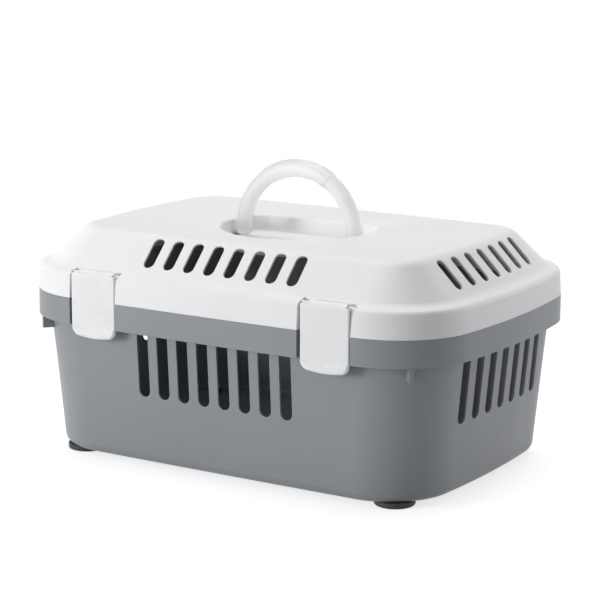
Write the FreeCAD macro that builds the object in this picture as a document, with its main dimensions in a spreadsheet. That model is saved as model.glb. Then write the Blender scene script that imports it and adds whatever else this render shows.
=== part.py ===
import FreeCAD, Part
import Sketcher
import math
import os
import re

V = FreeCAD.Vector
doc = FreeCAD.newDocument("pet_carrier")
os.makedirs("parts", exist_ok=True)

# Driving sizes in millimetres and degrees
SIZES = [
    ("rim_half_length", 245.0),
    ("rim_half_width", 168.0),
    ("rim_corner_radius", 81.0),
    ("long_side_bow_radius", 5460.0),
    ("end_bow_radius", 802.0),
    ("seam_height", 165.0),
    ("seam_gap", 0.3),
    ("wall_thickness", 2.0),
    ("band_height", 26.0),
    ("band_overhang", 12.0),
    ("rim_lip_inset", 3.4),
    ("rim_lip_height", 5.0),
    ("rim_lip_thickness", 2.0),
    ("base_half_length", 220.5),
    ("base_half_width", 147.0),
    ("base_corner_radius", 69.0),
    ("base_long_bow_radius", 20000.0),
    ("base_end_bow_radius", 1050.0),
    ("base_edge_radius", 9.0),
    ("foot_height", 5.5),
    ("foot_radius", 19.5),
    ("foot_place_x", 178.5),
    ("foot_place_y", 116.5),
    ("foot_edge_radius", 2.0),
    ("plug_radius", 4.0),
    ("plug_head_radius", 5.4),
    ("plug_head_height", 2.2),
    ("slot_pitch", 23.2),
    ("end_slot_pitch", 24.6),
    ("slot_count", 8),
    ("end_slot_count", 7),
    ("base_slot_width", 13.0),
    ("base_slot_bottom", 73.5),
    ("base_slot_top", 146.0),
    ("lid_slot_width", 12.2),
    ("lid_end_slot_width", 10.8),
    ("lid_end_slot_pitch", 24.0),
    ("lid_slot_low", 35.0),
    ("lid_slot_high", 59.6),
    ("gusset_thickness", 4.5),
    ("gusset_drop", 13.0),
    ("gusset_setback", 1.4),
    ("gusset_angle", 50.0),
    ("skirt_height", 24.7),
    ("skirt_draft", 1.8),
    ("ledge_inset", 14.5),
    ("ledge_height", 28.2),
    ("shoulder_radius", 4.5),
    ("ledge_bend_radius", 10.0),
    ("top_height", 62.8),
    ("top_edge_radius", 16.0),
    ("handle_radius", 64.5),
    ("handle_tube_radius", 7.8),
    ("grip_radius", 8.7),
    ("grip_angle", 66.0),
    ("grip_step_radius", 0.6),
    ("pivot_drop", 6.8),
    ("pivot_radius", 3.2),
    ("pivot_collar_radius", 5.0),
    ("running_gap", 0.05),
    ("free_gap", 0.3),
    ("grip_floor_gap", 0.6),
    ("dish_side_gap", 5.2),
    ("dish_back", 38.0),
    ("dish_corner_radius", 30.0),
    ("dish_draft", 6.0),
    ("dish_floor_radius", 4.0),
    ("dish_rim_radius", 2.5),
    ("latch_place", 131.0),
    ("latch_width", 52.0),
    ("latch_height", 62.0),
    ("latch_corner_radius", 9.0),
    ("latch_bow_radius", 110.0),
    ("latch_thickness", 3.2),
    ("latch_proud", 1.5),
    ("latch_side_gap", 2.0),
    ("latch_seat_shift", 1.5),
    ("latch_pocket_depth", 5.5),
    ("latch_barrel_radius", 4.2),
    ("latch_barrel_half_length", 20.0),
    ("latch_barrel_inset", 9.2),
    ("latch_barrel_height", 24.0),
    ("latch_pin_radius", 2.4),
    ("latch_pin_depth", 2.3),
    ("hinge_place", 131.0),
    ("hinge_offset", 7.0),
    ("hinge_barrel_radius", 5.5),
    ("hinge_pin_radius", 2.5),
    ("hinge_lug_width", 11.0),
    ("hinge_knuckle_width", 18.0),
    ("hinge_web_height", 16.0),
    ("eye_margin", 0.6),
    ("heel_width", 4.0),
    ("lid_opening", 110.0),
    ("pin_chamfer", 0.4),
    ("drain_length", 6.5),
    ("drain_width", 11.0),
    ("drain_height", 3.2),
    ("latch_arm_rise", 1.8),
    ("latch_arm_drop", 1.6),
    ("latch_edge_radius", 1.4),
    ("latch_border", 5.0),
    ("latch_lip_depth", 0.8),
    ("hook_height", 6.0),
    ("hook_width", 30.0),
]

sheet = doc.addObject("Spreadsheet::Sheet", "Sizes")
for row, (alias, value) in enumerate(SIZES, start=1):
    sheet.set("A%d" % row, alias)
    sheet.set("B%d" % row, str(value))
    sheet.setAlias("B%d" % row, alias)
doc.recompute()

ALIASES = {name for name, _ in SIZES}


def bind(expression):
    """The expression with each alias written as a cell of the sheet."""
    def cell(match):
        word = match.group()
        return "Sizes." + word if word in ALIASES else word
    return re.sub(r"[a-z_]+", cell, expression)


def size(expression):
    """Value of an expression in the sheet's aliases."""
    result = sheet.evalExpression(bind(expression))
    return float(getattr(result, "Value", result))


def drive(target, prop, expression):
    """Bind a property of an object to the sheet."""
    target.setExpression(prop, bind(expression))


def new_body(label):
    body = doc.addObject("PartDesign::Body", "Body_" + label)
    body.Label = label
    return body


def new_sketch(body, name, role, offset="0"):
    """Empty sketch on one of the body's origin planes, moved along the plane's normal."""
    plane = next(item for item in body.Origin.OriginFeatures if item.Role == role)
    sketch = body.newObject("Sketcher::SketchObject", name)
    sketch.AttachmentSupport = [(plane, "")]
    sketch.MapMode = "FlatFace"
    drive(sketch, "AttachmentOffset.Base.z", offset)
    return sketch


def hold(sketch, kind, *arguments, at=None):
    """Add one constraint, bound to an expression where one is given."""
    if at is None:
        return sketch.addConstraint(Sketcher.Constraint(kind, *arguments))
    index = sketch.addConstraint(Sketcher.Constraint(kind, *arguments, size(at)))
    drive(sketch, "Constraints[%d]" % index, at)
    return index


def add_circle(sketch, radius, x="0", y="0"):
    index = sketch.addGeometry(Part.Circle(V(size(x), size(y), 0), V(0, 0, 1), size(radius)))
    hold(sketch, "Radius", index, at=radius)
    hold(sketch, "DistanceX", -1, 1, index, 3, at=x)
    hold(sketch, "DistanceY", -1, 1, index, 3, at=y)
    return index


def arc_centre(start, end, radius, side):
    """Centre of the shorter arc, to the left (side 1) or right (side -1) of the chord."""
    chord = end - start
    middle = (start + end) * 0.5
    rise = math.sqrt(max(radius * radius - chord.Length * chord.Length / 4, 0))
    normal = V(-chord.y, chord.x, 0).normalize()
    return middle + normal * (rise * side)


def add_profile(sketch, corners):
    """Closed outline through corners of (x, y) or (x, y, radius, side) expressions.

    A corner with a radius ends an arc that comes from the corner before it.
    """
    points = [V(size(corner[0]), size(corner[1]), 0) for corner in corners]
    first = sketch.GeometryCount
    for index, corner in enumerate(corners):
        start = points[index - 1]
        end = points[index]
        if len(corner) == 2:
            sketch.addGeometry(Part.LineSegment(start, end))
            continue
        centre = arc_centre(start, end, size(corner[2]), corner[3])
        turn = [math.atan2(p.y - centre.y, p.x - centre.x) for p in (start, end)]
        circle = Part.Circle(centre, V(0, 0, 1), size(corner[2]))
        if corner[3] < 0:
            turn.reverse()
        sketch.addGeometry(Part.ArcOfCircle(circle, turn[0], turn[1]))
    for index, corner in enumerate(corners):
        here = first + index
        after = first + (index + 1) % len(corners)
        here_end = 1 if len(corner) == 4 and corner[3] < 0 else 2
        after_corner = corners[(index + 1) % len(corners)]
        after_start = 2 if len(after_corner) == 4 and after_corner[3] < 0 else 1
        hold(sketch, "Coincident", here, here_end, after, after_start)
        hold(sketch, "DistanceX", -1, 1, here, here_end, at=corner[0])
        hold(sketch, "DistanceY", -1, 1, here, here_end, at=corner[1])
        if len(corner) == 4:
            hold(sketch, "Radius", here, at=corner[2])


def add_slot(sketch, width, low, high, along="y", at="0"):
    """Stadium outline from low to high along one axis, centred at a place on the other."""
    half = "(%s) / 2" % width
    ends = ["%s - %s" % (high, half), "%s + %s" % (low, half)]
    radius = size(half)
    turn = 0 if along == "x" else math.pi / 2
    aside = V(-math.sin(turn), math.cos(turn), 0) * radius
    centres = [(end, at) if along == "x" else (at, end) for end in ends]
    far, near = [V(size(x), size(y), 0) for x, y in centres]
    first = sketch.GeometryCount
    quarter = math.pi / 2
    for centre, start, line_start, line_end in (
            (far, turn - quarter, far + aside, near + aside),
            (near, turn + quarter, near - aside, far - aside)):
        circle = Part.Circle(centre, V(0, 0, 1), radius)
        sketch.addGeometry(Part.ArcOfCircle(circle, start, start + 2 * quarter))
        sketch.addGeometry(Part.LineSegment(line_start, line_end))
    for index in range(4):
        hold(sketch, "Tangent", first + index, 2, first + (index + 1) % 4, 1)
    for index, (x, y) in enumerate(centres):
        hold(sketch, "DistanceX", -1, 1, first + 2 * index, 3, at=x)
        hold(sketch, "DistanceY", -1, 1, first + 2 * index, 3, at=y)
        hold(sketch, "Radius", first + 2 * index, at=half)


class Outline:
    """Plan outline with bowed sides: half length, half width, corner and two bow radii."""

    def __init__(self, length, width, corner, long_bow, end_bow):
        self.length = length
        self.width = width
        self.corner = corner
        self.long_bow = long_bow
        self.end_bow = end_bow

    def inset(self, distance):
        parts = (self.length, self.width, self.corner, self.long_bow, self.end_bow)
        return Outline(*("%s - (%s)" % (part, distance) for part in parts))

    def corner_centre(self):
        """Centre of the front right corner arc, which touches the front and the end arcs."""
        front = V(0, size(self.long_bow) - size(self.width), 0)
        end = V(size(self.length) - size(self.end_bow), 0, 0)
        front_reach = size(self.long_bow) - size(self.corner)
        end_reach = size(self.end_bow) - size(self.corner)
        apart = (end - front).Length
        along = (front_reach ** 2 - end_reach ** 2 + apart ** 2) / (2 * apart)
        aside = math.sqrt(front_reach ** 2 - along ** 2)
        step = (end - front).normalize()
        return front + step * along + V(-step.y, step.x, 0) * aside


def add_outline(sketch, outline):
    """Eight arcs that touch each other: front, right, back and left side with their corners."""
    first = sketch.GeometryCount
    corner = outline.corner_centre()
    if corner.y > 0:
        raise ValueError("corner centre lies on the wrong side")
    long_bow = size(outline.long_bow)
    end_bow = size(outline.end_bow)
    radius = size(outline.corner)
    side_y = long_bow - size(outline.width)
    side_x = end_bow - size(outline.length)
    tilt = math.atan2(corner.x, side_y - corner.y)
    lift = math.atan2(-corner.y, corner.x + side_x)
    quarter = math.pi / 2
    arcs = [
        (V(0, side_y, 0), long_bow, -quarter - tilt, -quarter + tilt),
        (corner, radius, -quarter + tilt, -lift),
        (V(-side_x, 0, 0), end_bow, -lift, lift),
        (V(corner.x, -corner.y, 0), radius, lift, quarter - tilt),
        (V(0, -side_y, 0), long_bow, quarter - tilt, quarter + tilt),
        (V(-corner.x, -corner.y, 0), radius, quarter + tilt, 2 * quarter - lift),
        (V(side_x, 0, 0), end_bow, 2 * quarter - lift, 2 * quarter + lift),
        (V(-corner.x, corner.y, 0), radius, 2 * quarter + lift, 3 * quarter - tilt),
    ]
    for centre, bow, start, end in arcs:
        sketch.addGeometry(Part.ArcOfCircle(Part.Circle(centre, V(0, 0, 1), bow), start, end))
    for index in range(8):
        hold(sketch, "Tangent", first + index, 2, first + (index + 1) % 8, 1)
    centre_y = "%s - (%s)" % (outline.long_bow, outline.width)
    centre_x = "%s - (%s)" % (outline.end_bow, outline.length)
    for index, x, y in ((0, "0", centre_y), (2, "-(%s)" % centre_x, "0"),
                        (4, "0", "-(%s)" % centre_y), (6, centre_x, "0")):
        hold(sketch, "DistanceX", -1, 1, first + index, 3, at=x)
        hold(sketch, "DistanceY", -1, 1, first + index, 3, at=y)
        hold(sketch, "Radius", first + index, at=outline.long_bow if y != "0" else outline.end_bow)
        hold(sketch, "Radius", first + index + 1, at=outline.corner)


RIM = Outline("rim_half_length", "rim_half_width", "rim_corner_radius",
              "long_side_bow_radius", "end_bow_radius")
FLOOR = Outline("base_half_length", "base_half_width", "base_corner_radius",
                "base_long_bow_radius", "base_end_bow_radius")

BAND_LOW = "seam_height - band_height"
LID_LOW = "seam_height + seam_gap"
LID_TOP = LID_LOW + " + top_height"
PIVOT_Z = LID_TOP + " - pivot_drop"
DISH_FLOOR = PIVOT_Z + " - grip_radius - grip_floor_gap"
DISH_WALL = "handle_radius + handle_tube_radius + dish_side_gap"

# Half width of the rim where a latch and where a hinge sits on the bowed side
LATCH_FACE = "rim_half_width - long_side_bow_radius + sqrt(long_side_bow_radius^2 - latch_place^2)"
HINGE_FACE = "rim_half_width - long_side_bow_radius + sqrt(long_side_bow_radius^2 - hinge_place^2)"
LATCH_WALL = LATCH_FACE + " - latch_pocket_depth"
LATCH_AXIS_Y = LATCH_FACE + " - latch_barrel_inset"
LATCH_AXIS_Z = LID_LOW + " + latch_barrel_height"
LATCH_TOP = LATCH_AXIS_Z + " + latch_arm_rise"
LATCH_LOW = LATCH_TOP + " - latch_height"
LATCH_POCKET = "(latch_width + 2 * latch_side_gap)"
HINGE_AXIS_Y = "rim_half_width + hinge_offset"

# The hinges stand out at the back, so the pieces move forward until the carrier's box is centred
CENTRING = "-(hinge_offset + hinge_barrel_radius) / 2"


def feature(body, kind, name, profile, **settings):
    """Sketch-based feature; text settings are expressions in the sheet's aliases."""
    item = body.newObject("PartDesign::" + kind, name)
    item.Profile = profile
    for prop, value in settings.items():
        if isinstance(value, str) and prop not in ("SideType", "Type"):
            drive(item, prop, value)
        else:
            setattr(item, prop, value)
    doc.recompute()
    return item


def volume_change(body, item, sign):
    """Stop if a feature took nothing away or added nothing."""
    before = item.BaseFeature.Shape.Volume if item.BaseFeature else 0.0
    if sign * (item.Shape.Volume - before) <= 0:
        raise RuntimeError(item.Name + " changes nothing")


def round_edges(body, name, radius, test):
    """Fillet of the tip's edges that pass a test."""
    base = body.Tip
    picked = ["Edge%d" % (n + 1) for n, edge in enumerate(base.Shape.Edges) if test(edge)]
    if not picked:
        raise RuntimeError(name + " finds no edge")
    item = body.newObject("PartDesign::Fillet", name)
    item.Base = (base, picked)
    drive(item, "Radius", radius)
    doc.recompute()
    return item


def level(height):
    """Test for edges that lie flat at a height."""
    z = size(height)
    return lambda edge: abs(edge.BoundBox.ZMin - z) < 0.01 and abs(edge.BoundBox.ZMax - z) < 0.01


def lies_in_front(edge, reach):
    """Whether an edge lies in the upright plane at a distance in front of the middle."""
    y = -size(reach)
    return abs(edge.BoundBox.YMin - y) < 0.01 and abs(edge.BoundBox.YMax - y) < 0.01


def loft(body, name, outlines, kind="AdditiveLoft"):
    """Ruled loft through (outline, height) pairs."""
    sections = []
    for number, (outline, height) in enumerate(outlines):
        sketch = new_sketch(body, "%s_Section%d" % (name, number), "XY_Plane", height)
        add_outline(sketch, outline)
        sections.append(sketch)
    item = body.newObject("PartDesign::" + kind, name)
    item.Profile = sections[0]
    item.Sections = sections[1:]
    item.Ruled = True
    doc.recompute()
    return item


def cut_with(body, name, tool):
    """Take a tool body away from a body."""
    item = body.newObject("PartDesign::Boolean", name)
    item.Type = "Cut"
    item.setObjects([tool])
    doc.recompute()
    volume_change(body, item, -1)
    return item


def side_name(side):
    return "Left" if side < 0 else "Right"


def latch_seat(side):
    """Middle of a latch's seat, which is wider on the left of the latch than on its right."""
    return "%d * latch_place - latch_seat_shift" % side


def side_pocket(body, name, half_width, corners, place):
    """Pocket of a side profile, centred on a place along the front."""
    sketch = new_sketch(body, name + "_Section", "YZ_Plane", place)
    add_profile(sketch, corners)
    item = feature(body, "Pocket", name, sketch, Length="2 * (%s)" % half_width, SideType="Symmetric")
    volume_change(body, item, -1)
    return item


def box_corners(face, low, high):
    """Side profile of everything in front of a face between two heights."""
    outside = "-(rim_half_width + 20)"
    inside = "-(%s)" % face
    return [(outside, low), (inside, low), (inside, high), (outside, high)]


def base_form(body, skin, rim, height):
    """Tapered walls, skin deep inside the outer face, with a straight rim on top."""
    floor = "foot_height + " + skin
    band = RIM.inset("band_overhang + " + skin)
    loft(body, "Wall", [(FLOOR.inset(skin), floor), (band, BAND_LOW)])
    sketch = new_sketch(body, "Rim_Plan", "XY_Plane", BAND_LOW)
    add_outline(sketch, rim)
    feature(body, "Pad", "Rim", sketch, Length=height)
    round_edges(body, "BottomEdge", "base_edge_radius - " + skin, level(floor))


def make_channel():
    """Tool body for the hollow under the band, with room left for the latch seats."""
    body = new_body("channel_tool")
    ring = new_sketch(body, "Channel_Plan", "XY_Plane", BAND_LOW + " - 1")
    add_outline(ring, RIM.inset("wall_thickness"))
    add_outline(ring, RIM.inset("band_overhang"))
    feature(body, "Pad", "Channel", ring, Length="band_height - wall_thickness + 1")
    seat = box_corners(LATCH_WALL + " - wall_thickness", BAND_LOW + " - 2", "seam_height")
    for side in (-1, 1):
        side_pocket(body, "Seat" + side_name(side), LATCH_POCKET + " / 2 + wall_thickness",
                    seat, latch_seat(side))
    return body


def make_base():
    """Tub: tapered walls with slots, hollow band, corner ribs, floor with foot holes."""
    inside = new_body("base_inside_tool")
    base_form(inside, "wall_thickness", RIM.inset("band_overhang + wall_thickness"), "band_height + 1")
    channel = make_channel()

    body = new_body("base_tub")
    base_form(body, "0", RIM, "band_height")
    for side in (-1, 1):
        side_pocket(body, "LatchSeat" + side_name(side), LATCH_POCKET + " / 2",
                    box_corners(LATCH_WALL, BAND_LOW + " - 1", "seam_height + 1"), latch_seat(side))
    add_rim_lip(body)
    add_base_lugs(body)
    add_foot_holes(body)
    cut_with(body, "BandHollow", channel)
    add_corner_ribs(body)
    add_base_slots(body)
    cut_with(body, "Inside", inside)
    return body


def add_corner_ribs(body):
    """Four upright ribs that carry the band's corners."""
    centre = RIM.corner_centre()
    sketch = new_sketch(body, "Ribs_Plan", "XY_Plane", BAND_LOW + " - gusset_drop")
    for sign_x, sign_y in ((1, -1), (1, 1), (-1, 1), (-1, -1)):
        along = V(sign_x * size("cos(gusset_angle)"), sign_y * size("sin(gusset_angle)"), 0)
        across = V(-along.y, along.x, 0) * (size("gusset_thickness") / 2)
        middle = V(centre.x * sign_x, -centre.y * sign_y, 0)
        outer = middle + along * size("rim_corner_radius - gusset_setback")
        inner = middle + along * size("rim_corner_radius - band_overhang - 3 * wall_thickness")
        corners = [inner - across, outer - across, outer + across, inner + across]
        add_profile(sketch, [(str(p.x), str(p.y)) for p in corners])
    item = feature(body, "Pad", "Ribs", sketch, Length="band_height + gusset_drop - wall_thickness / 2")
    volume_change(body, item, 1)


def add_lug(body, name, start, up, **settings):
    """Hinge barrel with its web to the side wall, above (1) or below (-1) the seam."""
    sketch = new_sketch(body, name + "_Section", "YZ_Plane", start)
    wall = HINGE_FACE + " - wall_thickness + 0.2"
    near = LID_LOW if up > 0 else "seam_height"
    reach = "sqrt(hinge_barrel_radius^2 - (%s - seam_height)^2)" % near
    add_profile(sketch, [
        (wall, near),
        ("%s - %s" % (HINGE_AXIS_Y, reach), near),
        (HINGE_AXIS_Y, "seam_height - %d * hinge_barrel_radius" % up, "hinge_barrel_radius", up),
        (HINGE_AXIS_Y + " + hinge_barrel_radius", "seam_height", "hinge_barrel_radius", up),
        (HINGE_AXIS_Y, "seam_height + %d * hinge_barrel_radius" % up, "hinge_barrel_radius", up),
        (wall, "seam_height + %d * hinge_web_height" % up),
    ])
    item = feature(body, "Pad", name, sketch, **settings)
    volume_change(body, item, 1)


def add_hinge_bore(body, radius):
    """Hole for the pins of both hinges."""
    sketch = new_sketch(body, "HingeBore_Section", "YZ_Plane")
    add_circle(sketch, radius, HINGE_AXIS_Y, "seam_height")
    item = feature(body, "Pocket", "HingeBore", sketch, SideType="Symmetric",
                   Length="2 * (hinge_place + hinge_knuckle_width + 2 * hinge_lug_width)")
    volume_change(body, item, -1)


def add_base_lugs(body):
    """Two hinge lugs for each hinge on the back of the band."""
    for side in (-1, 1):
        for turn in (-1, 1):
            name = "Lug%s%s" % (side_name(side), "Inner" if turn * side < 0 else "Outer")
            start = "%d * hinge_place + %d * (hinge_knuckle_width / 2 + free_gap)" % (side, turn)
            add_lug(body, name, start, -1, Length="hinge_lug_width", Reversed=turn < 0)
    add_hinge_bore(body, "hinge_pin_radius")


def add_rim_lip(body):
    """Low wall on the rim that the lid's skirt drops over, open at the latches."""
    ring = new_sketch(body, "RimLip_Plan", "XY_Plane", "seam_height")
    add_outline(ring, RIM.inset("rim_lip_inset"))
    add_outline(ring, RIM.inset("rim_lip_inset + rim_lip_thickness"))
    feature(body, "Pad", "RimLip", ring, Length="rim_lip_height")
    gap = box_corners(LATCH_WALL + " - wall_thickness - free_gap", "seam_height",
                      "seam_height + rim_lip_height + 1")
    for side in (-1, 1):
        side_pocket(body, "LipGap" + side_name(side),
                    LATCH_POCKET + " / 2 + wall_thickness + 2 * free_gap", gap, latch_seat(side))


def slot_row(body, name, role, width, low, high, count, pitch, reach):
    """Row of upright slots cut through both opposite walls."""
    first = "-(%s - 1) / 2 * %s" % (count, pitch)
    sketch = new_sketch(body, name + "_Outline", role)
    add_slot(sketch, width, low, high, "y", first)
    pocket = feature(body, "Pocket", name, sketch, Length=reach, SideType="Symmetric")
    volume_change(body, pocket, -1)
    repeat(body, name + "s", pocket, sketch, "H_Axis", count, pitch)


def repeat(body, name, original, sketch, axis, count, pitch):
    """Linear pattern of a feature along an axis of its sketch."""
    pattern = body.newObject("PartDesign::LinearPattern", name)
    pattern.Originals = [original]
    pattern.Direction = (sketch, [axis])
    drive(pattern, "Occurrences", count)
    drive(pattern, "Length", "(%s - 1) * %s" % (count, pitch))
    body.Tip = pattern
    doc.recompute()
    volume_change(body, pattern, -1)


def add_base_slots(body):
    """Slots through the long walls and the end walls, below the band."""
    slot_row(body, "LongSlot", "XZ_Plane", "base_slot_width", "base_slot_bottom", "base_slot_top",
             "slot_count", "slot_pitch", "2 * (rim_half_width - band_overhang / 2)")
    slot_row(body, "EndSlot", "YZ_Plane", "base_slot_width", "base_slot_bottom", "base_slot_top",
             "end_slot_count", "end_slot_pitch", "2 * (rim_half_length - band_overhang / 2)")


def add_foot_holes(body):
    """Four holes in the floor for the plugs of the feet."""
    sketch = new_sketch(body, "FootHoles_Plan", "XY_Plane", "foot_height - 1")
    for sign_x, sign_y in ((1, 1), (1, -1), (-1, 1), (-1, -1)):
        add_circle(sketch, "plug_radius", "%d * foot_place_x" % sign_x, "%d * foot_place_y" % sign_y)
    item = feature(body, "Pocket", "FootHoles", sketch, Length="wall_thickness + 2", Reversed=True)
    volume_change(body, item, -1)


def lid_form(body, skin):
    """Lid block with skirt, ledge, sloped sides, flat top, dish and latch recesses."""
    slope_inset = "ledge_inset + top_height - ledge_height"
    loft(body, "Block", [
        (RIM.inset("%s + %s / 2" % (slope_inset, skin)), "%s - %s" % (LID_TOP, skin)),
        (RIM.inset("ledge_inset + %s / 2" % skin), LID_LOW + " + ledge_height - " + skin),
        (RIM.inset("skirt_draft + " + skin), LID_LOW + " + skirt_height - " + skin),
        (RIM.inset(skin), LID_LOW),
    ])
    round_edges(body, "Shoulder", "shoulder_radius - " + skin, level(LID_LOW + " + skirt_height - " + skin))
    round_edges(body, "LedgeBend", "ledge_bend_radius + " + skin,
                level(LID_LOW + " + ledge_height - " + skin))
    round_edges(body, "TopEdge", "top_edge_radius - " + skin, level("%s - %s" % (LID_TOP, skin)))
    add_dish(body, skin)
    add_latch_recesses(body, skin)


def add_dish(body, skin):
    """Recess under the handle: half round in front, square with round corners behind."""
    floor = "%s - %s" % (DISH_FLOOR, skin)
    wall = "(%s + %s)" % (DISH_WALL, skin)
    back = "(dish_back + %s)" % skin
    corner = "(dish_corner_radius + %s)" % skin
    sketch = new_sketch(body, "Dish_Plan", "XY_Plane", floor)
    add_profile(sketch, [
        ("-" + wall, "0"),
        ("0", "-" + wall, wall, 1),
        (wall, "0", wall, 1),
        (wall, "%s - %s" % (back, corner)),
        ("%s - %s" % (wall, corner), back, corner, 1),
        ("%s - %s" % (corner, wall), back),
        ("-" + wall, "%s - %s" % (back, corner), corner, 1),
    ])
    item = feature(body, "Pocket", "Dish", sketch, Length="top_height", Reversed=True,
                   TaperAngle="dish_draft")
    volume_change(body, item, -1)
    round_edges(body, "DishFloorEdge", "dish_floor_radius + " + skin, level(floor))
    if skin == "0":
        rim_low = size(LID_TOP) - 3
        reach = size(wall) + 5
        round_edges(body, "DishRim", "dish_rim_radius", lambda edge: (
            edge.BoundBox.ZMin > rim_low and edge.BoundBox.XMax < reach
            and edge.BoundBox.XMin > -reach and edge.BoundBox.YMin > -reach))


def add_latch_recesses(body, skin):
    """Recess in the skirt and trough in the ledge for each front latch."""
    trough = "(latch_barrel_radius + free_gap + 0.1 + %s)" % skin
    wall = "(%s - %s)" % (LATCH_WALL, skin)
    turn = "(%s - (%s))" % (wall, LATCH_AXIS_Y)
    low = "%s - sqrt(%s^2 - %s^2)" % (LATCH_AXIS_Z, trough, turn)
    back = "%s - (%s)" % (trough, LATCH_AXIS_Y)
    outside = "-(rim_half_width + 20)"
    corners = [
        (outside, LID_LOW + " - 1"),
        ("-" + wall, LID_LOW + " - 1"),
        ("-" + wall, low),
        (back, LATCH_AXIS_Z, trough, 1),
        (back, LID_TOP),
        (outside, LID_TOP),
    ]
    for side in (-1, 1):
        side_pocket(body, "LatchRecess" + side_name(side), LATCH_POCKET + " / 2 + " + skin,
                    corners, latch_seat(side))


def make_lid():
    """Lid: shell with slots, dish, latch recesses with pivot holes, hinge knuckles."""
    inside = new_body("lid_inside_tool")
    lid_form(inside, "wall_thickness")
    body = new_body("lid")
    lid_form(body, "0")
    add_latch_sockets(body)
    add_handle_sockets(body)
    add_knuckles(body)
    add_lid_slots(body)
    cut_with(body, "Inside", inside)
    return body


def slope_sketch(body, name, half, turn):
    """Sketch just above one of the lid's slopes, which all rise at 45 degrees."""
    sketch = new_sketch(body, name, "XY_Plane")
    sketch.AttachmentOffset = FreeCAD.Placement(
        V(0, 0, 0), FreeCAD.Rotation(V(0, 0, 1), turn) * FreeCAD.Rotation(V(1, 0, 0), 45))
    away = "((%s - ledge_inset + %s + ledge_height) / 2 + 1)" % (half, LID_LOW)
    drive(sketch, "AttachmentOffset.Base.x", "sin(%d) * %s" % (turn, away))
    drive(sketch, "AttachmentOffset.Base.y", "-cos(%d) * %s" % (turn, away))
    drive(sketch, "AttachmentOffset.Base.z", away)
    return sketch


def add_lid_slots(body):
    """Slots square to the slopes, in rows that follow the bowed sides."""
    long_face = ("rim_half_width", "long_side_bow_radius")
    end_face = ("rim_half_length", "end_bow_radius")
    long_row = ("slot_count", "slot_pitch", "lid_slot_width")
    end_row = ("end_slot_count", "lid_end_slot_pitch", "lid_end_slot_width")
    for name, turn, (count, pitch, width), (half, bow) in (
            ("FrontSlots", 0, long_row, long_face),
            ("RightSlots", 90, end_row, end_face),
            ("BackSlots", 180, long_row, long_face),
            ("LeftSlots", 270, end_row, end_face)):
        sketch = slope_sketch(body, name + "_Outline", half, turn)
        for number in range(int(size(count))):
            place = "(%d - (%s - 1) / 2) * %s" % (number, count, pitch)
            ends = []
            for height in ("lid_slot_low", "lid_slot_high"):
                inset = "(ledge_inset + %s - ledge_height)" % height
                reach = "%s - %s + sqrt((%s - %s)^2 - (%s)^2)" % (half, bow, bow, inset, place)
                ends.append("(%s + %s - (%s)) / sqrt(2)" % (LID_LOW, height, reach))
            add_slot(sketch, width, ends[0], ends[1], "y", place)
        item = feature(body, "Pocket", name, sketch, Length="3 * wall_thickness + 4")
        volume_change(body, item, -1)


def add_latch_sockets(body):
    """Holes in the recess side walls for the latch pivots."""
    for side in (-1, 1):
        sketch = new_sketch(body, "LatchSocket%s_Section" % side_name(side), "YZ_Plane",
                            latch_seat(side))
        add_circle(sketch, "latch_pin_radius + running_gap", "-(%s)" % LATCH_AXIS_Y, LATCH_AXIS_Z)
        item = feature(body, "Pocket", "LatchSocket" + side_name(side), sketch,
                       Length=LATCH_POCKET + " + 3 * wall_thickness", SideType="Symmetric")
        volume_change(body, item, -1)


def add_handle_sockets(body):
    """Holes in the dish's end walls for the handle pivots, with a slot in the floor below."""
    sketch = new_sketch(body, "HandleSocket_Section", "YZ_Plane")
    add_circle(sketch, "pivot_radius + running_gap", "0", PIVOT_Z)
    item = feature(body, "Pocket", "HandleSocket", sketch,
                   Length="2 * (%s + 2 * wall_thickness)" % DISH_WALL, SideType="Symmetric")
    volume_change(body, item, -1)
    drain = new_sketch(body, "SocketDrain_Plan", "XY_Plane", DISH_FLOOR + " - 2 * wall_thickness")
    for sign in (-1, 1):
        far = "%d * (%s + wall_thickness / 2)" % (sign, DISH_WALL)
        near = "%d * (%s - drain_length)" % (sign, DISH_WALL)
        add_profile(drain, [(near, "-drain_width / 2"), (far, "-drain_width / 2"),
                            (far, "drain_width / 2"), (near, "drain_width / 2")])
    item = feature(body, "Pocket", "SocketDrain", drain, Length="2 * wall_thickness + drain_height",
                   Reversed=True)
    volume_change(body, item, -1)


def add_knuckles(body):
    """Hinge knuckle at the back for each hinge, with a heel that stops the lid when open."""
    heel_reach = "(%s - (%s) - 0.4)" % (HINGE_AXIS_Y, HINGE_FACE)
    for side in (-1, 1):
        name = "Knuckle" + side_name(side)
        place = "%d * hinge_place" % side
        add_lug(body, name, place, 1, Length="hinge_knuckle_width", SideType="Symmetric")
        heel = new_sketch(body, name + "_HeelSection", "YZ_Plane", place)
        corners = []
        for reach, half in (("0", "-1"), (heel_reach, "-1"), (heel_reach, "1"), ("0", "1")):
            aside = "%s * heel_width / 2" % half
            corners.append((
                "%s - cos(lid_opening) * %s + sin(lid_opening) * %s" % (HINGE_AXIS_Y, reach, aside),
                "seam_height - sin(lid_opening) * %s - cos(lid_opening) * %s" % (reach, aside)))
        add_profile(heel, corners)
        item = feature(body, "Pad", name + "_Heel", heel, Length="hinge_knuckle_width",
                       SideType="Symmetric")
        volume_change(body, item, 1)
    add_hinge_bore(body, "hinge_pin_radius + running_gap")


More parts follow.
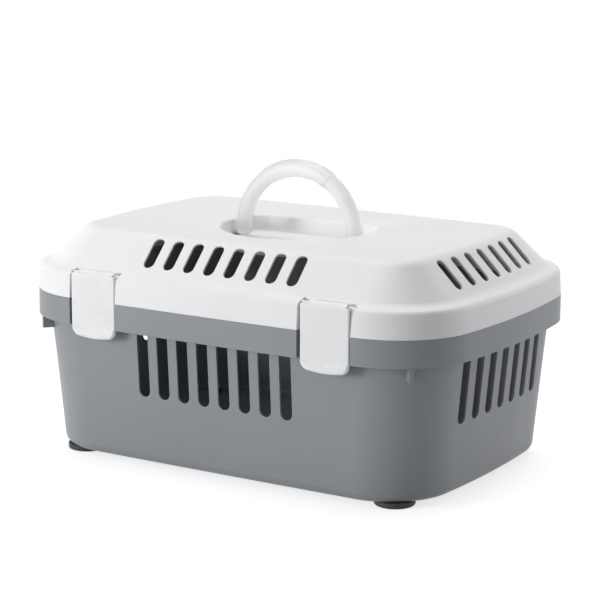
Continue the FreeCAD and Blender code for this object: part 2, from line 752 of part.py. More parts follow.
def make_hinge_pin(side):
    """Plain pin with chamfered ends, pressed into the tub's lugs."""
    body = new_body("hinge_pin_" + side_name(side).lower())
    sketch = new_sketch(body, "Pin_Section", "YZ_Plane", "%d * hinge_place" % side)
    add_circle(sketch, "hinge_pin_radius", HINGE_AXIS_Y, "seam_height")
    feature(body, "Pad", "Pin", sketch, SideType="Symmetric",
            Length="hinge_knuckle_width + 2 * free_gap + 2 * hinge_lug_width")
    ends = body.Tip
    item = body.newObject("PartDesign::Chamfer", "Ends")
    item.Base = (ends, ["Edge%d" % (n + 1) for n, edge in enumerate(ends.Shape.Edges)
                        if edge.isClosed()])
    drive(item, "Size", "pin_chamfer")
    doc.recompute()
    return body


def make_foot(label, sign_x, sign_y):
    """Round pad with a plug that is pushed through the floor."""
    body = new_body(label)
    x = "%d * foot_place_x" % sign_x
    y = "%d * foot_place_y" % sign_y
    for name, radius, low, length in (
            ("Pad", "foot_radius", "0", "foot_height"),
            ("Plug", "plug_radius", "foot_height / 2", "foot_height / 2 + wall_thickness + plug_head_height"),
            ("PlugHead", "plug_head_radius", "foot_height + wall_thickness", "plug_head_height")):
        sketch = new_sketch(body, name + "_Plan", "XY_Plane", low)
        add_circle(sketch, radius, x, y)
        feature(body, "Pad", name, sketch, Length=length)
    round_edges(body, "PadEdge", "foot_edge_radius", level("0"))
    return body


def add_axis(sketch, height):
    """Level construction line at a height, to turn a profile about."""
    z = size(height)
    axis = sketch.addGeometry(Part.LineSegment(V(-10, z, 0), V(10, z, 0)), True)
    hold(sketch, "Horizontal", axis)
    hold(sketch, "DistanceY", -1, 1, axis, 1, at=height)
    hold(sketch, "DistanceX", -1, 1, axis, 1, at="-10")
    hold(sketch, "DistanceX", -1, 1, axis, 2, at="10")


def turned(body, name, sketch, angle):
    """Profile turned about the construction line of its sketch, half to each side."""
    item = body.newObject("PartDesign::Revolution", name)
    item.Profile = sketch
    item.ReferenceAxis = (sketch, ["Axis0"])
    drive(item, "Angle", angle)
    item.Midplane = True
    doc.recompute()
    volume_change(body, item, 1)
    return item


def make_handle():
    """Half round tube with a thicker grip, and a ball, a collar and a pivot at each end."""
    body = new_body("carry_handle")
    for name, radius, angle in (("Arch", "handle_tube_radius", "180"),
                                ("Grip", "grip_radius", "grip_angle")):
        sketch = new_sketch(body, name + "_Section", "YZ_Plane")
        add_circle(sketch, radius, "0", PIVOT_Z + " + handle_radius")
        add_axis(sketch, PIVOT_Z)
        turned(body, name, sketch, angle)
    rim = 2 * math.pi * size("grip_radius")
    round_edges(body, "GripStep", "grip_step_radius",
                lambda edge: edge.isClosed() and abs(edge.Length - rim) < 0.5)
    eye = "(handle_tube_radius + eye_margin)"
    neck = "handle_radius + sqrt(%s^2 - pivot_collar_radius^2)" % eye
    steps = (
        (DISH_WALL + " - free_gap", "pivot_collar_radius", "pivot_radius"),
        (DISH_WALL + " + wall_thickness", "pivot_radius", "0"),
    )
    for sign in (-1, 1):
        sketch = new_sketch(body, "Pivot%s_Section" % side_name(sign), "XZ_Plane")
        corners = [
            ("%d * (handle_radius - %s)" % (sign, eye), PIVOT_Z),
            ("%d * handle_radius" % sign, "%s + %s" % (PIVOT_Z, eye), eye, -sign),
            ("%d * (%s)" % (sign, neck), PIVOT_Z + " + pivot_collar_radius", eye, -sign),
        ]
        for reach, before, after in steps:
            for radius in (before, after):
                corners.append(("%d * (%s)" % (sign, reach), "%s + %s" % (PIVOT_Z, radius)))
        add_axis(sketch, PIVOT_Z)
        add_profile(sketch, corners)
        turned(body, "Pivot" + side_name(sign), sketch, "360")
    return body


def add_latch_outline(sketch, middle, inset, upper):
    """Latch outline: two upper corners, round lower corners and a bowed lower edge."""
    low = "%s + %s" % (LATCH_LOW, inset)
    left = "%s - latch_width / 2 + %s" % (middle, inset)
    right = "%s + latch_width / 2 - %s" % (middle, inset)
    corner = "(latch_corner_radius - %s)" % inset
    add_profile(sketch, [
        (left, "%s + %s" % (low, corner)),
        ("%s + %s" % (left, corner), low, corner, 1),
        ("%s - %s" % (right, corner), low, "latch_bow_radius - %s" % inset, 1),
        (right, "%s + %s" % (low, corner), corner, 1),
        (right, upper),
        (left, upper) if inset == "0" else (left, upper, "latch_bow_radius", -1),
    ])


def make_latch(side):
    """Latch plate with a raised crescent at its lower edge, an arm, a barrel and two pivots."""
    body = new_body("front_latch_" + side_name(side).lower())
    middle = "%d * latch_place" % side
    lip = LATCH_FACE + " + latch_proud"
    face = lip + " - latch_lip_depth"
    back = lip + " - latch_thickness"
    top = LATCH_TOP
    low = LATCH_LOW
    plate = new_sketch(body, "Plate_Outline", "XZ_Plane", back)
    add_latch_outline(plate, middle, "0", top)
    feature(body, "Pad", "Plate", plate, Length="latch_thickness - latch_lip_depth")
    round_edges(body, "PlateEdge", "latch_edge_radius", lambda edge: (
        lies_in_front(edge, face) and edge.BoundBox.ZMin < size(top) - 1))
    crescent = new_sketch(body, "Lip_Outline", "XZ_Plane", "%s - latch_lip_depth" % face)
    add_latch_outline(crescent, middle, "latch_edge_radius",
                      "%s + latch_corner_radius + latch_lip_depth" % low)
    item = feature(body, "Pad", "Lip", crescent, Length="2 * latch_lip_depth")
    volume_change(body, item, 1)
    round_edges(body, "LipEdge", "latch_lip_depth / 2", lambda edge: lies_in_front(edge, lip))
    arm = new_sketch(body, "Arm_Section", "YZ_Plane", middle)
    under = LATCH_AXIS_Z + " - latch_arm_drop"
    add_profile(arm, [
        ("-(%s)" % LATCH_AXIS_Y, top),
        ("-(%s) + latch_edge_radius" % face, top),
        ("-(%s)" % face, top + " - latch_edge_radius", "latch_edge_radius", 1),
        ("-(%s)" % face, "%s - latch_thickness - latch_border" % top),
        ("-(%s)" % back, "%s - latch_thickness - latch_border" % top),
        ("-(%s)" % back, under + " - latch_thickness / 2"),
        ("-(%s + 1.2 * free_gap)" % LATCH_WALL, under),
        ("-(%s)" % LATCH_AXIS_Y, under),
    ])
    feature(body, "Pad", "Arm", arm, Length="2 * latch_barrel_half_length", SideType="Symmetric")
    for name, radius, half_length, place in (
            ("Barrel", "latch_barrel_radius", "latch_barrel_half_length", middle),
            ("Pivots", "latch_pin_radius", LATCH_POCKET + " / 2 + wall_thickness", latch_seat(side))):
        sketch = new_sketch(body, name + "_Section", "YZ_Plane", place)
        add_circle(sketch, radius, "-(%s)" % LATCH_AXIS_Y, LATCH_AXIS_Z)
        feature(body, "Pad", name, sketch, Length="2 * (%s)" % half_length, SideType="Symmetric")
    hook = new_sketch(body, "Hook_Section", "YZ_Plane", middle)
    add_profile(hook, [
        ("-(%s)" % back + " - 0.5", low + " + latch_border"),
        ("-(%s + free_gap)" % LATCH_WALL, "%s + latch_border + hook_height / 4" % low),
        ("-(%s + free_gap)" % LATCH_WALL, "%s + latch_border + hook_height" % low),
        ("-(%s)" % back + " - 0.5", "%s + latch_border + hook_height * 1.25" % low),
    ])
    feature(body, "Pad", "Hook", hook, Length="hook_width", SideType="Symmetric")
    return body


def check_and_export(bodies):
    """Stop on any failed object, then write one STEP file for each body."""
    for body in bodies:
        drive(body, "Placement.Base.y", CENTRING)
    doc.recompute()
    for item in doc.Objects:
        if any(word in item.State for word in ("Invalid", "Error")):
            raise RuntimeError(item.Name + " failed")
    for body in bodies:
        shape = body.Shape
        if shape.isNull() or not shape.isValid() or len(shape.Solids) != 1:
            raise RuntimeError("%s is not one valid solid" % body.Label)
        shape.exportStep("parts/%s.step" % body.Label)
        print(body.Label, round(shape.Volume / 1000, 2), "cm3")


bodies = [make_base(), make_lid(), make_handle()]
bodies += [make_latch(side) for side in (-1, 1)]
bodies += [make_hinge_pin(side) for side in (-1, 1)]
for front_back, sign_y in (("front", -1), ("back", 1)):
    for sign_x in (-1, 1):
        label = "foot_%s_%s" % (front_back, side_name(sign_x).lower())
        bodies.append(make_foot(label, sign_x, sign_y))
check_and_export(bodies)
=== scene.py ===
# %% [markdown]
# # Dressing a pet carrier for its picture
#
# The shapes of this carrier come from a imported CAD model: a grey tub, a white lid that is hinged at
# the back, two latches, a folding handle, two hinge pins and four feet. This lesson gives those
# pieces the finish of moulded plastic, with its grain, its soft edges and its traces of use, and
# lights them as in a studio. We start by loading the model. It is our fixed frame: we may give its
# pieces new materials, but we never move them.

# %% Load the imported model
import math

import bpy
import numpy as np
from mathutils import Matrix, Vector

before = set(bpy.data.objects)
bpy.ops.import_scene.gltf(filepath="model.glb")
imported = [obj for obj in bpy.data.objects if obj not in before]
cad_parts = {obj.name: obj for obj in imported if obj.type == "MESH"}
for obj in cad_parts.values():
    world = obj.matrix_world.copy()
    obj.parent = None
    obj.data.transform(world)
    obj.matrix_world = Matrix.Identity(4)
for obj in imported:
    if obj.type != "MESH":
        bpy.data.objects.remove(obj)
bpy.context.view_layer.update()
print("pieces in the model:", ", ".join(sorted(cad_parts)))

# %% [markdown]
# ## The camera
#
# A product photograph is usually taken from far away with a long lens, because that keeps the sides
# of a box nearly parallel. We could place the camera by eye, but here its place was worked out from
# the corners of the carrier in the picture, so we simply write it down: a point to stand on, a point
# to look at, the lens, and a very small roll, as if the tripod wasn't quite level.

# %% Camera
stand = Vector((1.10166, -1.77756, 0.59170))
look_at = Vector((0.00116, -0.00553, 0.15229))
roll = math.radians(0.257)

camera_data = bpy.data.cameras.new("camera")
camera_data.lens = 127.5
camera_data.sensor_width = 36.0
camera_data.clip_start = 0.05
camera_data.clip_end = 50.0
camera = bpy.data.objects.new("camera", camera_data)
bpy.context.scene.collection.objects.link(camera)
bpy.context.scene.camera = camera
turn = (look_at - stand).to_track_quat("-Z", "Y").to_matrix().to_4x4()
camera.matrix_world = Matrix.Translation(stand) @ turn @ Matrix.Rotation(roll, 4, "Z")
print("camera distance in metres:", round((look_at - stand).length, 3))

# %% [markdown]
# ## Small helpers for node trees
#
# A material is a tree of nodes. Written out in full, every node takes four or five lines, and its
# links as many again, so the shape of an effect is lost from sight. We make a few helpers first. With
# them, one line adds a node, sets it and links it, and the effects below read like their recipes.

# %% Helpers
def fill(tree, node, inputs):
    """Link each input, given by name or number, to a socket, or set it to a value."""
    for key, value in inputs.items():
        if isinstance(value, bpy.types.NodeSocket):
            tree.links.new(value, node.inputs[key])
        else:
            node.inputs[key].default_value = value
    return node


def add(tree, kind, inputs, **settings):
    """Node of a kind, with its settings and its inputs."""
    node = tree.nodes.new("ShaderNode" + kind)
    for key, value in settings.items():
        setattr(node, key, value)
    return fill(tree, node, inputs)


def math_node(tree, operation, first, second):
    """Result of one operation on two numbers."""
    return add(tree, "Math", {0: first, 1: second}, operation=operation).outputs[0]


def ramp(tree, value, low, high, start=0.0, end=1.0):
    """Value mapped from low..high to start..end, with soft ends."""
    limits = {"From Min": low, "From Max": high, "To Min": start, "To Max": end}
    return add(tree, "MapRange", {"Value": value, **limits}, interpolation_type="SMOOTHSTEP").outputs[0]


def noise(tree, place, scale, detail, roughness=0.5):
    """Smooth noise from 0 to 1."""
    inputs = {"Vector": place, "Scale": scale, "Detail": detail, "Roughness": roughness}
    return add(tree, "TexNoise", inputs).outputs["Fac"]


def mix_colour(tree, amount, first, second):
    """First colour, with the second over it by an amount."""
    inputs = {"Factor": amount, "A": first, "B": second}
    return add(tree, "Mix", inputs, data_type="RGBA").outputs["Result"]


def mix_shader(tree, amount, first, second):
    """First shader, with the second over it by an amount."""
    return add(tree, "MixShader", {0: amount, 1: first, 2: second}).outputs[0]


def object_place(tree):
    """Place in the object's own coordinates."""
    return add(tree, "TexCoord", {}).outputs["Object"]


def opaque(colour):
    """Colour with full alpha."""
    return (*colour, 1.0)


print("helpers ready:", fill.__name__, add.__name__, ramp.__name__, noise.__name__)

# %% [markdown]
# ## A white room
#
# The photograph has a pure white background and hardly any shadow on the floor. We could make the
# lamps so strong that the floor burns out, but then the white lid would burn out too. Instead, the
# camera, reflections and clear plastic see a plain white glow, and every other ray sees an ordinary
# pale floor. Near the carrier the floor's own shading stays in the glow, so the soft shadow is kept.

# %% Floor and backdrop
floor_reach = 6.0
floor_pale = (0.70, 0.70, 0.71)
floor_shade = 0.30
shade_start, shade_end = 0.35, 0.75
room_colour = (0.97, 0.98, 1.0)
room_strength = 0.26
white = (1.0, 1.0, 1.0)


def seen_directly(tree):
    """1 for camera, glossy and transmission rays, 0 for all others."""
    rays = add(tree, "LightPath", {}).outputs
    level = math_node(tree, "MAXIMUM", rays["Is Camera Ray"], rays["Is Glossy Ray"])
    return math_node(tree, "MAXIMUM", level, rays["Is Transmission Ray"])


def white_floor(material):
    """Pale paint; seen directly it glows white, with its own shading near the middle."""
    tree = material.node_tree
    tree.nodes.clear()
    paint = add(tree, "BsdfDiffuse", {"Color": opaque(floor_pale)}).outputs[0]
    glow = add(tree, "Emission", {"Strength": 1.0 - floor_shade}).outputs[0]
    shaded = add(tree, "AddShader", {0: paint, 1: glow}).outputs[0]
    plain_white = add(tree, "Emission", {}).outputs[0]
    distance = add(tree, "VectorMath", {0: object_place(tree)}, operation="LENGTH").outputs["Value"]
    bright = mix_shader(tree, ramp(tree, distance, shade_start, shade_end), shaded, plain_white)
    seen = mix_shader(tree, seen_directly(tree), paint, bright)
    add(tree, "OutputMaterial", {"Surface": seen})


def white_room(world):
    """Soft light from everywhere; seen directly it is plain white."""
    tree = world.node_tree
    tree.nodes.clear()
    soft = add(tree, "Background", {"Color": opaque(room_colour), "Strength": room_strength}).outputs[0]
    plain_white = add(tree, "Background", {"Color": opaque(white), "Strength": 1.0}).outputs[0]
    add(tree, "OutputWorld", {"Surface": mix_shader(tree, seen_directly(tree), soft, plain_white)})


def flat_square(name, reach):
    """Square on the ground: each corner is a pair of signs, times the reach."""
    signs = np.array([(-1.0, -1.0, 0.0), (1.0, -1.0, 0.0), (1.0, 1.0, 0.0), (-1.0, 1.0, 0.0)])
    mesh = bpy.data.meshes.new(name)
    mesh.from_pydata((reach * signs).tolist(), [], [(0, 1, 2, 3)])
    mesh.update()
    return mesh


floor_paint = bpy.data.materials.new("floor_paint")
floor_paint.use_nodes = True
white_floor(floor_paint)
floor_mesh = flat_square("floor", floor_reach)
floor_mesh.materials.append(floor_paint)
floor = bpy.data.objects.new("floor", floor_mesh)
bpy.context.scene.collection.objects.link(floor)

world = bpy.data.worlds.new("white_room")
world.use_nodes = True
white_room(world)
bpy.context.scene.world = world
print("floor reach in metres:", floor_reach)

# %% [markdown]
# ## Soft boxes
#
# The front wall is lighter than the rounded corner next to it, and the right end is in between.
# That tells us where the lamps stood: a large soft box low on the left, a smaller one low behind the
# right end, and a wide one overhead. Both low ones also show as a broad sheen on the wall that faces
# them. An area lamp is the right tool, because its size sets how soft the shading is.

# %% Lamps
middle = Vector((0.0, 0.0, 0.13))
lamp_table = {
    "left_box": {"place": (-1.9, -2.4, 0.62), "size": 1.2, "watts": 55.0},
    "right_box": {"place": (2.0, 2.4, 0.60), "size": 1.0, "watts": 22.0},
    "top_box": {"place": (-0.2, 0.5, 2.3), "size": 1.6, "watts": 27.0},
}


def soft_box(name, place, size, watts):
    """Square area lamp at a place, turned towards the middle of the carrier."""
    data = bpy.data.lights.new(name, "AREA")
    data.shape = "SQUARE"
    data.size = size
    data.energy = watts
    lamp = bpy.data.objects.new(name, data)
    bpy.context.scene.collection.objects.link(lamp)
    lamp.location = place
    lamp.rotation_mode = "QUATERNION"
    lamp.rotation_quaternion = (middle - Vector(place)).to_track_quat("-Z", "Y")
    return lamp


lamps = [soft_box(name, **row) for name, row in lamp_table.items()]
bpy.context.scene.view_settings.view_transform = "Standard"
print("lamps:", ", ".join("%s %.0f W" % (lamp.name, lamp.data.energy) for lamp in lamps))

# %% [markdown]
# ## Effects that more than one plastic shares
#
# Moulded plastic isn't a flat colour. The steel of the mould leaves a fine grain, the pigment has
# faint clouds, thick places sink a little, edges are never knife sharp, and use leaves rub marks,
# scratches and dust. Each effect is made once as a node group that puts out a mask, a colour or a
# normal, and each material takes it with its own numbers. All of them read object coordinates, so
# they stay in place when a piece moves.
#
# We start with the grain: a fine noise with a coarser one, for the mould's texture, and slow waves,
# for the places where the wall sank. Distances are in metres.

# %% Mould grain
fine_scale, coarse_scale, coarse_share = 2600.0, 900.0, 0.6
sink_scale, sink_height, grain_height = 14.0, 0.004, 0.0002


def new_group(name, inputs, outputs):
    """Shader node group with number, colour or vector sockets."""
    group = bpy.data.node_groups.new(name, "ShaderNodeTree")
    kinds = {"number": "NodeSocketFloat", "colour": "NodeSocketColor", "vector": "NodeSocketVector"}
    for label, kind, value in inputs:
        socket = group.interface.new_socket(label, in_out="INPUT", socket_type=kinds[kind])
        socket.default_value = value
    for label, kind in outputs:
        group.interface.new_socket(label, in_out="OUTPUT", socket_type=kinds[kind])
    given = group.nodes.new("NodeGroupInput").outputs
    result = group.nodes.new("NodeGroupOutput")
    return group, given, result


def make_grain():
    """Spark-eroded grain: fine noise with a coarser one, and slow waves where the wall sank."""
    group, given, result = new_group(
        "mould_grain",
        [("Depth", "number", 0.1), ("Waves", "number", 0.1), ("Edge normal", "vector", (0, 0, 0))],
        [("Normal", "vector")])
    place = object_place(group)
    fine = noise(group, place, fine_scale, 2.0)
    coarse = noise(group, place, coarse_scale, 2.0)
    both = math_node(group, "ADD", fine, math_node(group, "MULTIPLY", coarse, coarse_share))
    waves = add(group, "Bump", {"Strength": given["Waves"], "Distance": sink_height,
                                "Height": noise(group, place, sink_scale, 1.0),
                                "Normal": given["Edge normal"]}).outputs[0]
    grain = add(group, "Bump", {"Strength": given["Depth"], "Distance": grain_height,
                                "Height": both, "Normal": waves}).outputs[0]
    fill(group, result, {"Normal": grain})
    return group


groups = {"grain": make_grain()}
print("finest grain in millimetres:", round(1000.0 / fine_scale, 2))

# %% [markdown]
# ### Softened edges
#
# A bevel node turns the normal near an edge as if the edge were rounded. The same node with a wider
# radius also tells us where the edges are: there, its normal and the flat one point apart. That gives
# a mask, with which an edge is drawn a little lighter: partly rub wear, and partly a painted highlight
# along the edge, standing in for the light that a rounded edge catches.

# %% Softened edges
bevel_samples = 6
wide_factor = 2.5
unturned, turned_far = 0.995, 0.80


def make_edges():
    """Normal rounded over a small radius, and a mask of where that turned the surface."""
    group, given, result = new_group(
        "softened_edges", [("Radius", "number", 0.0006)],
        [("Normal", "vector"), ("Edge", "number")])
    wide_radius = math_node(group, "MULTIPLY", given["Radius"], wide_factor)
    narrow = add(group, "Bevel", {"Radius": given["Radius"]}, samples=bevel_samples).outputs[0]
    wide = add(group, "Bevel", {"Radius": wide_radius}, samples=bevel_samples).outputs[0]
    flat = add(group, "NewGeometry", {}).outputs["Normal"]
    match = add(group, "VectorMath", {0: wide, 1: flat}, operation="DOT_PRODUCT").outputs["Value"]
    fill(group, result, {"Normal": narrow, "Edge": ramp(group, match, unturned, turned_far)})
    return group


groups["edges"] = make_edges()
print("edge mask starts at degrees:", round(math.degrees(math.acos(unturned)), 1))

# %% [markdown]
# ### Rub marks and scratches
#
# Rub marks are broad patches of soft noise. A scratch is noise too, but stretched so far along one
# direction that only thin lines are left. Two such directions cross, and a second noise keeps the
# lines to a few patches, because a real carrier isn't scratched evenly.

# %% Rub marks and scratches
rub_scale, rub_low, rub_high = 9.0, 0.48, 0.72
scratch_directions = ((0.5, 34.0, 0.0), (-0.9, 42.0, 3.1))
along, across = 1.0 / 9.0, 26.0
tilts = (0.7, 0.4, 1.0)
line_low, line_high = 0.735, 0.77
patch_scale, patch_low, patch_high = 16.0, 0.50, 0.66


def scratch_lines(group, place, angle, stretch, shift):
    """Noise that is long along one direction and short across it, cut to thin lines."""
    turned = add(group, "Mapping", {
        "Vector": place, "Location": (shift, shift * 0.3, 0.0),
        "Rotation": tuple(angle * tilt for tilt in tilts),
        "Scale": (stretch * along, stretch * across, stretch * across)}).outputs[0]
    return ramp(group, noise(group, turned, 1.0, 0.0), line_low, line_high)


def make_marks():
    """Broad rub marks, and thin scratches as noise stretched along two slanting directions."""
    group, given, result = new_group(
        "handling_marks", [("Amount", "number", 0.5)], [("Rub", "number"), ("Scratch", "number")])
    place = object_place(group)
    rub = ramp(group, noise(group, place, rub_scale, 5.0, 0.62), rub_low, rub_high)
    lines = [scratch_lines(group, place, *row) for row in scratch_directions]
    patches = ramp(group, noise(group, place, patch_scale, 2.0), patch_low, patch_high)
    scratch = math_node(group, "MULTIPLY", math_node(group, "MAXIMUM", *lines), patches)
    fill(group, result, {"Rub": math_node(group, "MULTIPLY", rub, given["Amount"]),
                         "Scratch": math_node(group, "MULTIPLY", scratch, given["Amount"])})
    return group


groups["marks"] = make_marks()
print("scratch directions:", len(scratch_directions))

# %% [markdown]
# ### Pigment clouds
#
# The colour lies between two close shades. Large clouds carry most of the change and fine specks the
# rest, so that the plastic looks even from afar and alive from near.

# %% Pigment clouds
cloud_scale, cloud_low, cloud_high, cloud_share = 7.0, 0.30, 0.70, 0.75
speck_scale, speck_low, speck_high, speck_share = 420.0, 0.38, 0.66, 0.25
mid_grey = (0.5, 0.5, 0.5, 1.0)


def make_pigment():
    """Colour between two shades, after faint clouds and fine specks."""
    group, given, result = new_group(
        "pigment_clouds", [("Shade one", "colour", mid_grey), ("Shade two", "colour", mid_grey)],
        [("Colour", "colour")])
    place = object_place(group)
    clouds = ramp(group, noise(group, place, cloud_scale, 4.0, 0.55), cloud_low, cloud_high)
    specks = ramp(group, noise(group, place, speck_scale, 1.0), speck_low, speck_high)
    both = math_node(group, "ADD", math_node(group, "MULTIPLY", clouds, cloud_share),
                     math_node(group, "MULTIPLY", specks, speck_share))
    fill(group, result, {"Colour": mix_colour(group, both, given["Shade one"], given["Shade two"])})
    return group


groups["pigment"] = make_pigment()
print("pigment shares:", cloud_share, "clouds,", speck_share, "specks")

# %% [markdown]
# ### Dust
#
# Dust settles on faces that look up. The height part of the normal finds them, and noise breaks the
# dust up, so that it doesn't look like a coat of paint.

# %% Dust
steep, level = 0.35, 0.98
fluff_scale, fluff_low, fluff_high = 60.0, 0.42, 0.70


def make_dust():
    """Dust on faces that look up, broken up by noise."""
    group, given, result = new_group("settled_dust", [("Amount", "number", 0.2)], [("Dust", "number")])
    normal = add(group, "NewGeometry", {}).outputs["Normal"]
    up = ramp(group, add(group, "SeparateXYZ", {"Vector": normal}).outputs["Z"], steep, level)
    cloud = ramp(group, noise(group, object_place(group), fluff_scale, 6.0, 0.7), fluff_low, fluff_high)
    dust = math_node(group, "MULTIPLY", math_node(group, "MULTIPLY", up, cloud), given["Amount"])
    fill(group, result, {"Dust": dust})
    return group


groups["dust"] = make_dust()
print("node groups:", ", ".join(group.name for group in groups.values()))

# %% [markdown]
# ## The plastics
#
# The tub and the lid are the same kind of plastic, polypropylene, in grey and in white: satin, with
# a fine grain. The latches are smoother and let a little light in. The handle is a milky tube, so
# most of its light passes through it and is scattered on the way. One function builds them all from
# the shared groups, and only the numbers differ. The Principled BSDF stays in each material.

# %% One function for all moulded plastics
# Edges are drawn lighter, partly as rub wear and partly as a painted highlight; scratches are lighter as
# wear.
edge_wear_and_highlight, scratch_light = 0.45, 0.35
rub_dulling, scratch_shine, dust_dulling = 0.16, 0.10, 0.25
dust_colour = (0.62, 0.60, 0.57)
plastic_ior = 1.49


def new_material(name):
    """Material with its node tree and its shader."""
    material = bpy.data.materials.new(name)
    material.use_nodes = True
    tree = material.node_tree
    shader = next(node for node in tree.nodes if node.type == "BSDF_PRINCIPLED")
    return material, tree, shader


def group_node(tree, name, inputs):
    """Outputs of a shared group, with its inputs filled."""
    node = tree.nodes.new("ShaderNodeGroup")
    node.node_tree = groups[name]
    return fill(tree, node, inputs).outputs


def moulded_plastic(name, shade_one, shade_two, wear_and_highlight_shade, rough, grain, waves, marks, dust,
                    shader_sockets):
    """Satin plastic: pigment clouds, lighter edges as rub wear and painted highlight, rub marks,
    scratches, dust and grain.
    """
    material, tree, shader = new_material(name)
    pigment = group_node(tree, "pigment", {"Shade one": opaque(shade_one), "Shade two": opaque(shade_two)})
    edges = group_node(tree, "edges", {"Radius": 0.0006})
    wear = group_node(tree, "marks", {"Amount": marks})
    fluff = group_node(tree, "dust", {"Amount": dust})
    # Painted highlight: edges drawn lighter, partly rub wear, partly the light a rounded edge would catch.
    edge_wear_and_highlight_mask = math_node(tree, "MULTIPLY", edges["Edge"], edge_wear_and_highlight)
    scratch_amount = math_node(tree, "MULTIPLY", wear["Scratch"], scratch_light)
    colour = mix_colour(tree, edge_wear_and_highlight_mask, pigment["Colour"], opaque(wear_and_highlight_shade))
    colour = mix_colour(tree, scratch_amount, colour, opaque(wear_and_highlight_shade))
    colour = mix_colour(tree, fluff["Dust"], colour, opaque(dust_colour))
    duller = math_node(tree, "MULTIPLY", wear["Rub"], rub_dulling)
    shinier = math_node(tree, "MULTIPLY", wear["Scratch"], scratch_shine)
    roughness = math_node(tree, "SUBTRACT", math_node(tree, "ADD", duller, rough), shinier)
    dusty = math_node(tree, "MULTIPLY", fluff["Dust"], dust_dulling)
    roughness = math_node(tree, "ADD", roughness, dusty)
    surface = group_node(tree, "grain", {"Depth": grain, "Waves": waves, "Edge normal": edges["Normal"]})
    fill(tree, shader, {"Base Color": colour, "Roughness": roughness, "Normal": surface["Normal"],
                        "IOR": plastic_ior, "Subsurface Radius": (1.0, 1.0, 1.0), **shader_sockets})
    return material


tub_grey = moulded_plastic(
    "tub_grey", shade_one=(0.246, 0.260, 0.278), shade_two=(0.266, 0.280, 0.298),
    wear_and_highlight_shade=(0.38, 0.39, 0.41), rough=0.42, grain=0.10, waves=0.06, marks=0.6, dust=0.05,
    shader_sockets={})
lid_white = moulded_plastic(
    "lid_white", shade_one=(0.875, 0.880, 0.886), shade_two=(0.895, 0.898, 0.903),
    wear_and_highlight_shade=(0.93, 0.93, 0.935), rough=0.52, grain=0.10, waves=0.05, marks=0.5, dust=0.05,
    shader_sockets={"Subsurface Weight": 0.08, "Subsurface Scale": 0.002})
latch_milk = moulded_plastic(
    "latch_milk", shade_one=(0.89, 0.90, 0.91), shade_two=(0.905, 0.913, 0.922),
    wear_and_highlight_shade=(0.94, 0.945, 0.95), rough=0.26, grain=0.03, waves=0.03, marks=0.5, dust=0.03,
    shader_sockets={"Subsurface Weight": 0.3, "Subsurface Scale": 0.004})
handle_milk = moulded_plastic(
    "handle_milk", shade_one=(0.92, 0.925, 0.93), shade_two=(0.935, 0.938, 0.942),
    wear_and_highlight_shade=(0.96, 0.962, 0.965), rough=0.42, grain=0.02, waves=0.03, marks=0.6, dust=0.02,
    shader_sockets={"Transmission Weight": 0.7, "Subsurface Weight": 0.1, "Subsurface Scale": 0.004})
print("plastics:", tub_grey.name, lid_white.name, latch_milk.name, handle_milk.name)

# %% [markdown]
# ## Rubber feet
#
# The feet are dull black rubber, a little grey where they rub on the floor. They are small, but a
# close view shows them, so they get the same edges, marks and dust as the plastics, only stronger.

# %% Rubber
rubber_black = (0.030, 0.030, 0.032)
# The edge grey is partly rub wear, partly a painted highlight.
rubber_edge_wear_and_highlight = (0.085, 0.083, 0.080)
rubber_rubbed = (0.11, 0.107, 0.10)
rubber_dust = (0.35, 0.33, 0.31)


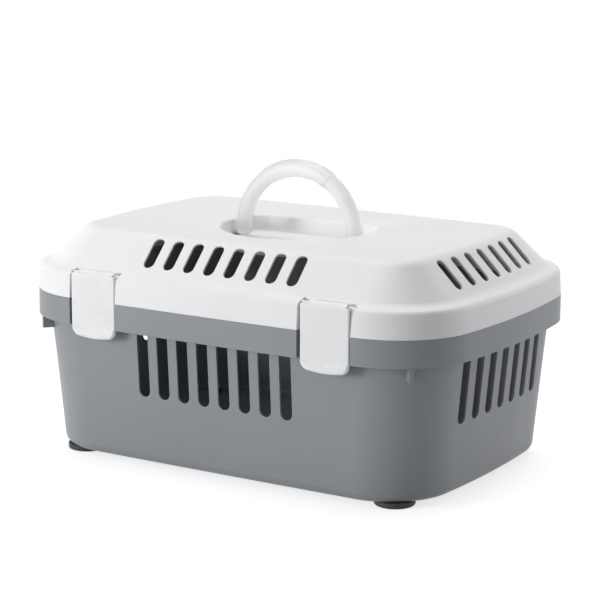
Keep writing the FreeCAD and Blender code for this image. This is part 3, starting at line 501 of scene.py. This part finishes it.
def make_rubber():
    """Dull black rubber: greyer edges as rub wear and painted highlight, rub marks, dust, and a strong
    grain.
    """
    material, tree, shader = new_material("foot_rubber")
    edges = group_node(tree, "edges", {"Radius": 0.0005})
    wear = group_node(tree, "marks", {"Amount": 0.9})
    fluff = group_node(tree, "dust", {"Amount": 0.3})
    # Painted highlight: edges drawn greyer, partly rub wear, partly the light a rounded edge would catch.
    edge_wear_and_highlight_mask = math_node(tree, "MULTIPLY", edges["Edge"], 0.5)
    rub_amount = math_node(tree, "MULTIPLY", wear["Rub"], 0.35)
    colour = mix_colour(tree, edge_wear_and_highlight_mask, opaque(rubber_black), opaque(rubber_edge_wear_and_highlight))
    colour = mix_colour(tree, rub_amount, colour, opaque(rubber_rubbed))
    colour = mix_colour(tree, fluff["Dust"], colour, opaque(rubber_dust))
    surface = group_node(tree, "grain", {"Depth": 0.35, "Waves": 0.05, "Edge normal": edges["Normal"]})
    fill(tree, shader, {"Base Color": colour, "Normal": surface["Normal"],
                        "Roughness": ramp(tree, wear["Rub"], 0.0, 1.0, 0.62, 0.80)})
    return material


rubber = make_rubber()
print("rubber:", rubber.name)

# %% [markdown]
# ## Steel pins
#
# The hinge pins are drawn steel wire, and drawing leaves fine lines along the wire. One noise makes
# them: it is stretched along the pin's own X axis, and it drives the colour, the gloss and the relief
# together, so that a dark line is also a rough and deep one.

# %% Steel
drawn_scale = (60.0, 5200.0, 5200.0)
steel_dark, steel_light = (0.50, 0.50, 0.51), (0.68, 0.68, 0.69)


def make_steel():
    """Drawn steel: noise stretched along X for the colour, the gloss and the relief."""
    material, tree, shader = new_material("pin_steel")
    drawn = add(tree, "Mapping", {"Vector": object_place(tree), "Scale": drawn_scale}).outputs[0]
    lines = noise(tree, drawn, 1.0, 2.0)
    relief = add(tree, "Bump", {"Strength": 0.15, "Distance": 0.00005, "Height": lines}).outputs[0]
    fill(tree, shader, {"Base Color": mix_colour(tree, lines, opaque(steel_dark), opaque(steel_light)),
                        "Roughness": ramp(tree, lines, 0.3, 0.7, 0.24, 0.42),
                        "Normal": relief, "Metallic": 1.0})
    return material


steel = make_steel()
print("steel:", steel.name)

# %% [markdown]
# ## Put the finishes on the pieces
#
# Each CAD piece has one material slot, so we only swap what is in the slot. The first word or two of
# a piece's name tell what it is made of. Nothing else on the piece changes.

# %% Materials onto the CAD pieces
finish_of = {"base_tub": tub_grey, "lid": lid_white, "carry_handle": handle_milk,
             "front_latch": latch_milk, "hinge_pin": steel, "foot": rubber}
for name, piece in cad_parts.items():
    finish = next(finish for start, finish in finish_of.items() if name.startswith(start))
    for slot in piece.material_slots:
        slot.material = finish
print("finished pieces:", len(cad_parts))
